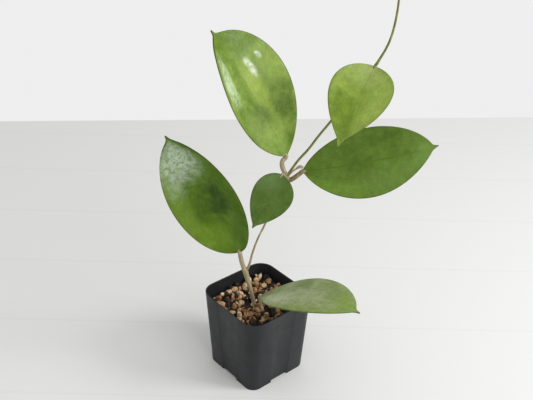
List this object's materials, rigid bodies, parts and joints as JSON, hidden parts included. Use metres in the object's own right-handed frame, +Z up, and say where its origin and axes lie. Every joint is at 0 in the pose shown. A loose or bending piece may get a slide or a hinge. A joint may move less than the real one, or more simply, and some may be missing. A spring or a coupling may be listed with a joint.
{
  "type": "potted hoya plant",
  "caption": "Young climbing plant with broad waxy leaves on a thin stem, in a small square nursery pot filled with a loose grit and bark mix.",
  "frame": {"origin": "on the ground at the middle of the pot's base", "axes": "+Z up; X and Y square to the pot's sides; the lower leaf reaches out over the rim towards +X"},
  "size_m": [0.1549, 0.1763, 0.3746],
  "materials": {
    "pot": "matte charcoal moulded plastic, faintly satin",
    "mix": "loose damp bark and grit, dull",
    "root": "pale dull root",
    "stem": "tan to grey-brown bark, dull",
    "vine": "olive-green young stem, dull",
    "leaf": "waxy green leaf, half gloss",
    "pumice": "pale tan porous grain, dull",
    "bark": "orange-brown bark chip, dull",
    "charcoal": "black charcoal lump, dull"
  },
  "bodies": {
    "root": {"pot": "pot", "potting_mix": "mix", "roots": "root", "main_stem": "stem", "side_shoot": "stem", "dry_spur": "stem", "vine": "vine", "left_leaf": "leaf", "top_leaf": "leaf", "right_leaf": "leaf", "small_leaf": "leaf", "vine_leaf": "leaf", "lower_leaf": "leaf", "tip_leaf_1": "leaf", "tip_leaf_2": "leaf", "pumice_01": "pumice", "pumice_02": "pumice", "pumice_03": "pumice", "pumice_04": "pumice", "pumice_05": "pumice", "pumice_06": "pumice", "pumice_07": "pumice", "pumice_08": "pumice", "pumice_09": "pumice", "bark_01": "bark", "bark_02": "bark", "bark_03": "bark", "bark_04": "bark", "bark_05": "bark", "bark_06": "bark", "bark_07": "bark", "bark_08": "bark", "bark_09": "bark", "charcoal_01": "charcoal", "charcoal_02": "charcoal", "charcoal_03": "charcoal", "charcoal_04": "charcoal", "charcoal_05": "charcoal", "charcoal_06": "charcoal", "charcoal_07": "charcoal", "charcoal_08": "charcoal"}
  },
  "joints": []
}
